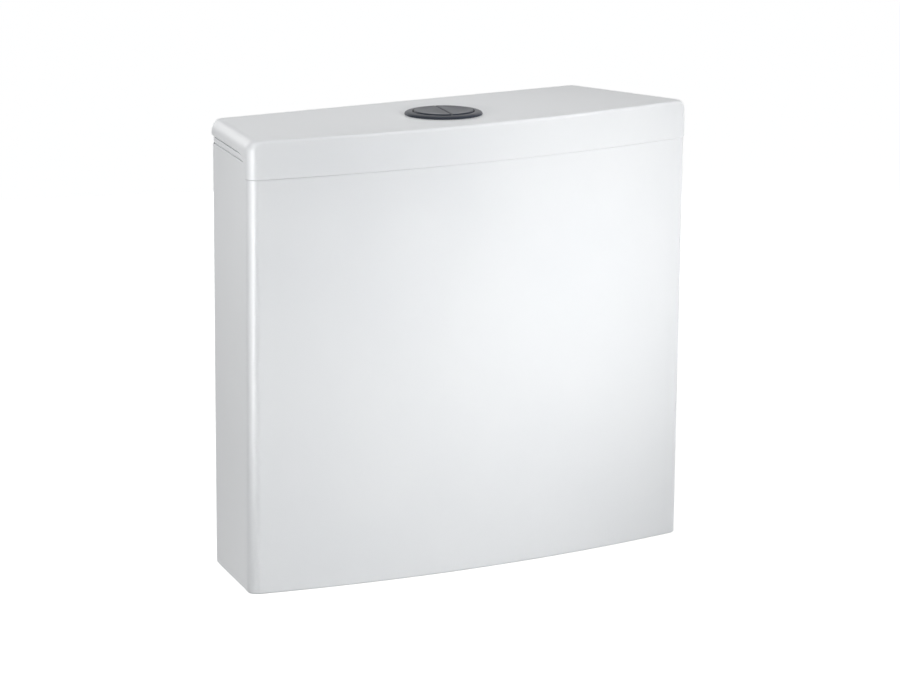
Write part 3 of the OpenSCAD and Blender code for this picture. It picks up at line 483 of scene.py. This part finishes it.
def lid_mesh():
    bm = bmesh.new()
    straight = len(skirt_edge(0.0)) - len(LEG_STOPS)
    level_y = [y for y, _ in skirt_edge(0.0)[:straight]] + list(LEG_STOPS)

    def edge_ring(inset, back_inset, lift):
        side = skirt_edge(lift)
        outline = casing_outline(inset, back_inset, stops=[y for y, _ in side])
        heights = [SKIRT_Z + lift] * (BACK_STEPS + BACK_ARC + 1) + [z for _, z in side]
        heights += [LID_FOOT + lift] * (len(outline) // 2 + 1 - len(heights))
        return at_height(outline, heights + heights[-2:0:-1])

    def level_ring(inset, back_inset, z, forward=0.0, corner=None):
        return at_height(casing_outline(inset, back_inset, DEPTH + forward, stops=level_y, corner=corner), z)

    outer, inner, bend = -LID_OVER, LID_WALL - LID_OVER, LID_ROUND - LID_WALL
    outer_back, inner_back = 0.5, inner + 1.3
    lip, bevel = 0.15, 0.05
    under = LID_TOP - LID_PLATE
    rings = []
    for a in range(90, -1, -15):
        s, c = math.sin(math.radians(a)), math.cos(math.radians(a))
        come_in = bend * (1 - c)
        rings.append(level_ring(inner + come_in, inner_back, under - bend * (1 - s), come_in))
    rings += [edge_ring(inner, inner_back, lip), edge_ring(inner - bevel, inner_back - bevel, bevel),
              edge_ring(inner - lip, inner_back - lip, 0.0), edge_ring(outer + lip, outer_back + lip, 0.0),
              edge_ring(outer + bevel, outer_back + bevel, bevel), edge_ring(outer, outer_back, lip)]
    for a in (0, 9, 18, 27, 36, 43, 48.6, 53, 57, 62, 67, 73, 79, 85, 90):
        s, c = math.sin(math.radians(a)), math.cos(math.radians(a))
        z, side = LID_TOP - LID_ROUND * (1 - s), LID_ROUND * (1 - c)
        rise = min(max(z - LID_TOP + LID_FRONT_ROUND, 0.0), LID_FRONT_ROUND)
        front = LID_FRONT_ROUND - math.sqrt(LID_FRONT_ROUND ** 2 - rise ** 2)
        corner = CORNER_R + LID_OVER - 0.4 * side
        rings.append(level_ring(outer + side, outer_back + front, z, side - front, corner))
    shell = skin(bm, rings)

    dish = [(SEAT_HOLE_R, SEAT_LOW), (SEAT_HOLE_R, SEAT_Z - 0.2), (SEAT_HOLE_R + 0.2, SEAT_Z), (33.1, SEAT_Z)]
    slope = ((33.8, 1.45), (36.0, 1.21), (39.0, 0.91), (42.0, 0.6), (45.0, 0.3), (46.5, 0.17), (48.0, 0.07),
             (49.5, 0.015), (DISH_R, 0.0))
    dish += [(radius, LID_TOP - sunk) for radius, sunk in slope]
    boss = [(SEAT_HOLE_R, SEAT_LOW), (BOSS_R - 0.4, SEAT_LOW), (BOSS_R, SEAT_LOW + 0.4), (BOSS_R, under)]
    well = skin(bm, [circle(0, VALVE_Y, radius, z, 96) for radius, z in dish])
    collar = skin(bm, [circle(0, VALVE_Y, radius, z, 96) for radius, z in boss])
    plate(bm, shell[-1], [well[-1]])
    plate(bm, shell[0], [collar[-1]])

    rib = [(RIB_OUT, under), (RIB_OUT, NECK_TOP + 0.4), (RIB_OUT + 0.4, NECK_TOP),
           (RIB_IN - 0.4, NECK_TOP), (RIB_IN, NECK_TOP + 0.4), (RIB_IN, under)]
    stood = skin(bm, [level_ring(t, t + NECK_BACK, z) for t, z in rib])
    bridge(bm, stood[-1], stood[0])
    return finished("lid_shell", bm)


lid = lid_mesh()
lid.data.materials.append(casing_white)
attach(lid, "lid")
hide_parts("lid")

# Trim ring and its cage: an anthracite satin ring lies in the dish and clips over the flange of a threaded
# cage, which a winged nut draws up against the underside of the lid.
BEZEL_R, BEZEL_HOLE_R, CREST = 32.5, 25.8, 1.9


def turned(bm, x, y, profile, count=96):
    """Adds a ring turned about the upright axis at x, y from a closed profile of (radius, height)."""
    made = skin(bm, [circle(x, y, radius, z, count) for radius, z in profile])
    bridge(bm, made[-1], made[0])


def satin_dark(name):
    """Anthracite plastic with a satin spark finish."""
    material = moulded(name, (0.032, 0.038, 0.052), rough=0.34, spread=0.03, grain=0.05, grain_size=1400.0)
    material.node_tree.nodes["Principled BSDF"].inputs["Specular IOR Level"].default_value = 0.12
    return material


def bezel_mesh():
    bm = bmesh.new()
    inner, foot, brim = BEZEL_HOLE_R, BEZEL_R - 1.5, SEAT_Z + 0.7
    profile = [(inner, SEAT_Z + 1.2), (foot, SEAT_Z + 1.2), (foot, SEAT_Z), (BEZEL_R - 0.1, SEAT_Z),
               (BEZEL_R, SEAT_Z + 0.1), (BEZEL_R, brim)]
    ridge = inner + 0.9
    for a in range(15, 91, 5):
        turn = math.radians(a)
        profile.append((ridge + (BEZEL_R - ridge) * math.cos(turn) ** 0.9, brim + CREST * math.sin(turn)))
    profile += [(inner + 0.45, SEAT_Z + 2.5), (inner + 0.12, SEAT_Z + 2.25), (inner, SEAT_Z + 1.9)]
    turned(bm, 0, VALVE_Y, profile)
    return finished("trim_ring", bm)


button_dark = satin_dark("button_dark")
bezel = bezel_mesh()
bezel.data.materials.append(button_dark)
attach(bezel, "lid")
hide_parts("button_bezel")
dress(threaded(moulded("cage_dark", (0.020, 0.021, 0.023)), 0, VALVE_Y, 351.7, 372, 3.0), "button_cage")
dress(moulded("nut_dark", (0.075, 0.077, 0.080), rough=0.45), "button_nut")

# Buttons: two half-round caps side by side, each a hollow moulding with a soft upper edge, a slightly
# hollowed top and a stem through the cage's floor. A white push rod is pressed into each stem.
BUTTON_TOP, CAP_R, CAP_WALL, SPLIT = 378.9, 25.0, 1.6, 0.8
CAP_FOOT, CAP_ROUND = SEAT_Z - 7, 1.1
STEM_R, STEM_HOLE_R, STEM_LOW, STEM_TOP = 4.5, 2.6, 351.2, 377.7
ROD_X, ROD_Y = 11.0, 4.0
VALVE_TURN = math.radians(-15.7)


def by_valve(x, y):
    """Place in plan of a point given from the valve's axis, across and along the split."""
    c, s = math.cos(VALVE_TURN), math.sin(VALVE_TURN)
    return x * c - y * s, x * s + y * c + VALVE_Y


def half_round(inset, turn):
    """Outline in mm of one cap moved inwards, its straight side along the split."""
    edge, radius = SPLIT / 2 + inset, CAP_R - inset
    reach = math.acos(edge / radius)
    outline = arc_points((0, 0), radius, -reach, reach, 40)
    top = math.sqrt(radius ** 2 - edge ** 2)
    outline += [(edge, top - 2 * top * i / 16) for i in range(1, 16)]
    return [by_valve(x * turn, y * turn) for x, y in outline]


def button_mesh(name, turn):
    bm = bmesh.new()

    def ring(inset, z):
        return at_height(half_round(inset, turn), z)

    rings = [ring(0.25, CAP_FOOT), ring(0.0, CAP_FOOT + 0.25)]
    for a in range(0, 91, 15):
        s, c = math.sin(math.radians(a)), math.cos(math.radians(a))
        rings.append(ring(CAP_ROUND * (1 - c), BUTTON_TOP - CAP_ROUND * (1 - s)))
    for inset, sink in ((1.8, 0.01), (3.0, 0.08), (5.0, 0.22), (7.5, 0.36), (10.0, 0.44)):
        rings.append(ring(inset, BUTTON_TOP - sink))
    shell = skin(bm, rings)
    plate(bm, shell[-1])
    hollow = skin(bm, [ring(CAP_WALL, CAP_FOOT), ring(CAP_WALL, BUTTON_TOP - 2.2)])
    plate(bm, hollow[-1])
    bridge(bm, shell[0], hollow[0])
    stem = [(STEM_HOLE_R, STEM_LOW), (STEM_R - 0.2, STEM_LOW), (STEM_R, STEM_LOW + 0.2), (STEM_R, STEM_TOP),
            (STEM_HOLE_R, STEM_TOP)]
    turned(bm, *by_valve(ROD_X * turn, -ROD_Y * turn), stem, 40)
    return finished(name, bm)


for name, turn in (("full_button", 1), ("half_button", -1)):
    cap = button_mesh(name + "_cap", turn)
    cap.data.materials.append(button_dark)
    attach(cap, name)
    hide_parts(name)
dress(moulded("rod_white", (0.76, 0.76, 0.75)), "full_rod", "half_rod")

# Return springs: round steel wire wound over each stem, its end turns flat, held between the cage's floor
# and the underside of the cap. Each is one fixed coil carried with the lid; it does not shorten as the button
# goes down.
COILS, WIRE_R, SPRING_R, SPRING_LOW, SPRING_HIGH = 6, 0.5, 6.0, 355.05, 376.15


def spring_mesh(name, turn):
    bm = bmesh.new()
    steps, sides = 28, 10
    rings = []
    for i in range(steps * (COILS + 2) + 1):
        a = 2 * math.pi * i / steps
        climb = min(max((i / steps - 0.5) / (COILS + 1), 0.0), 1.0)
        z = SPRING_LOW + (SPRING_HIGH - SPRING_LOW) * climb - FIXING_HEIGHT
        ring = []
        for j in range(sides):
            b = 2 * math.pi * j / sides
            reach = SPRING_R + WIRE_R * math.cos(b)
            x, y = ROD_X + reach * math.cos(a), -ROD_Y + reach * math.sin(a)
            ring.append(Vector((*by_valve(x * turn, y * turn), z + WIRE_R * math.sin(b))) * MM)
        rings.append(ring)
    wound = skin(bm, rings)
    plate(bm, wound[0])
    plate(bm, wound[-1])
    return finished(name, bm, 50)


spring_steel = drawn_steel("spring_steel", 0.55)
for side, turn in (("full", 1), ("half", -1)):
    spring = spring_mesh(side + "_coil", turn)
    spring.data.materials.append(spring_steel)
    spring.modifiers.clear()
    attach(spring, "lid")
    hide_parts(side + "_spring")
    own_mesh(spring)

# Stage: a plain white floor and backdrop, soft studio lamps and panels that only show in the gloss, with the
# camera where the photograph was taken from.
FLOOR_LIFT, FLOOR_HALF = 0.86, 9.0


def seen_ray(tree):
    """1 for what is seen directly, mirrored or through something clear, and 0 for light that spreads."""
    path = tree.nodes.new("ShaderNodeLightPath")
    seen = path.outputs["Is Camera Ray"]
    for also in ("Is Glossy Ray", "Is Transmission Ray"):
        either = tree.nodes.new("ShaderNodeMath")
        either.operation = "MAXIMUM"
        tree.links.new(seen, either.inputs[0])
        tree.links.new(path.outputs[also], either.inputs[1])
        seen = either.outputs["Value"]
    return seen


def floor_white():
    """Matt white paper; seen by the camera it is lifted to the white of the backdrop and keeps its shadow."""
    material = bpy.data.materials.new("floor_white")
    material.use_nodes = True
    tree = material.node_tree
    shader = tree.nodes["Principled BSDF"]
    shader.inputs["Base Color"].default_value = (0.50, 0.50, 0.50, 1)
    shader.inputs["Roughness"].default_value = 0.9
    shader.inputs["Specular IOR Level"].default_value = 0.0
    lift = tree.nodes.new("ShaderNodeMath")
    lift.operation = "MULTIPLY"
    lift.inputs[1].default_value = FLOOR_LIFT
    tree.links.new(seen_ray(tree), lift.inputs[0])
    shader.inputs["Emission Color"].default_value = (1, 1, 1, 1)
    tree.links.new(lift.outputs["Value"], shader.inputs["Emission Strength"])
    return material


floor_mesh = bpy.data.meshes.new("floor")
corners = [(x * FLOOR_HALF, y * FLOOR_HALF, 0) for x, y in ((-1, -1), (1, -1), (1, 1), (-1, 1))]
floor_mesh.from_pydata(corners, [], [(0, 1, 2, 3)])
floor_mesh.materials.append(floor_white())
floor = bpy.data.objects.new("floor", floor_mesh)
floor.location.z = -FIXING_HEIGHT * MM
bpy.context.scene.collection.objects.link(floor)

world = bpy.data.worlds.new("studio")
bpy.context.scene.world = world
world.use_nodes = True
sky = world.node_tree
room = sky.nodes["Background"]
room.inputs["Color"].default_value = (0.97, 0.985, 1.0, 1)
room.inputs["Strength"].default_value = 0.28
backdrop = sky.nodes.new("ShaderNodeBackground")
backdrop.inputs["Color"].default_value = (1, 1, 1, 1)
backdrop.inputs["Strength"].default_value = 1.0
choice = sky.nodes.new("ShaderNodeMixShader")
sky.links.new(seen_ray(sky), choice.inputs["Fac"])
sky.links.new(room.outputs["Background"], choice.inputs[1])
sky.links.new(backdrop.outputs["Background"], choice.inputs[2])
sky.links.new(choice.outputs["Shader"], sky.nodes["World Output"].inputs["Surface"])


def soft_box(name, place, aim, width, height, power, spread=180, lights=True, mirrors=True):
    """A lamp turned to its aim; a grid narrows its spread, and it may light, show in the gloss or both."""
    lamp = bpy.data.lights.new(name, "AREA")
    lamp.shape = "RECTANGLE"
    lamp.size, lamp.size_y = width, height
    lamp.energy = power
    lamp.spread = math.radians(spread)
    box = bpy.data.objects.new(name, lamp)
    box.location = place
    box.rotation_euler = (Vector(aim) - Vector(place)).to_track_quat("-Z", "Y").to_euler()
    box.visible_camera = False
    box.visible_diffuse = lights
    box.visible_glossy = mirrors
    bpy.context.scene.collection.objects.link(box)


soft_box("key", (0.75, -1.10, 0.20), (0.060, -0.14, -0.085), 0.40, 0.40, 0.62, 32, mirrors=False)
soft_box("fill", (-0.60, -2.15, 0.15), (-0.05, -0.10, -0.20), 1.2, 1.2, 8)
soft_box("left", (-0.66, -0.20, 0.36), (-0.20, -0.09, -0.06), 0.25, 0.25, 1.4)
soft_box("low_left", (-0.64, -0.45, -0.20), (-0.20, -0.12, -0.25), 0.20, 0.20, 0.35)
soft_box("top", (0.05, -0.10, 1.40), (0.03, -0.07, 0.05), 0.3, 0.3, 0.05, 22)
soft_box("back", (0.50, 1.60, 0.12), (0.0, 0.0, -0.12), 1.0, 1.0, 9, mirrors=False)
soft_box("corner_wide", (-0.66, -0.14, -0.13), (-0.21, -0.12, -0.13), 0.70, 0.46, 2.4, lights=False)
soft_box("corner_narrow", (-0.63, -0.29, -0.17), (-0.21, -0.12, -0.17), 0.30, 0.54, 2.8, lights=False)
soft_box("rear", (-0.18, 0.95, 0.27), (-0.18, -0.06, 0.05), 0.60, 0.34, 0.7, lights=False)

AZIMUTH, ELEVATION = math.radians(-31.84), math.radians(11.4)
PHOTO_W, FOCAL_PX, SENSOR_W = 900, 5155.0, 36.0
AIM_Y, AIM_Z = -61.43, 215.0
CAMERA_BACK, CAMERA_RIGHT, CAMERA_UP = 4327.0, 10.96, -30.5
back = Vector((math.sin(AZIMUTH) * math.cos(ELEVATION), -math.cos(AZIMUTH) * math.cos(ELEVATION),
               math.sin(ELEVATION)))
right = Vector((math.cos(AZIMUTH), math.sin(AZIMUTH), 0.0))
up = back.cross(right)
aim = Vector((0.0, AIM_Y, AIM_Z - FIXING_HEIGHT))
lens = bpy.data.cameras.new("camera")
lens.sensor_width = SENSOR_W
lens.lens = FOCAL_PX / PHOTO_W * SENSOR_W
lens.clip_end = 50.0
camera = bpy.data.objects.new("camera", lens)
stand = (aim + back * CAMERA_BACK + right * CAMERA_RIGHT + up * CAMERA_UP) * MM
camera.matrix_world = Matrix.Translation(stand) @ Matrix((right, up, back)).transposed().to_4x4()
bpy.context.scene.collection.objects.link(camera)
bpy.context.scene.camera = camera
bpy.context.scene.view_settings.view_transform = "Standard"
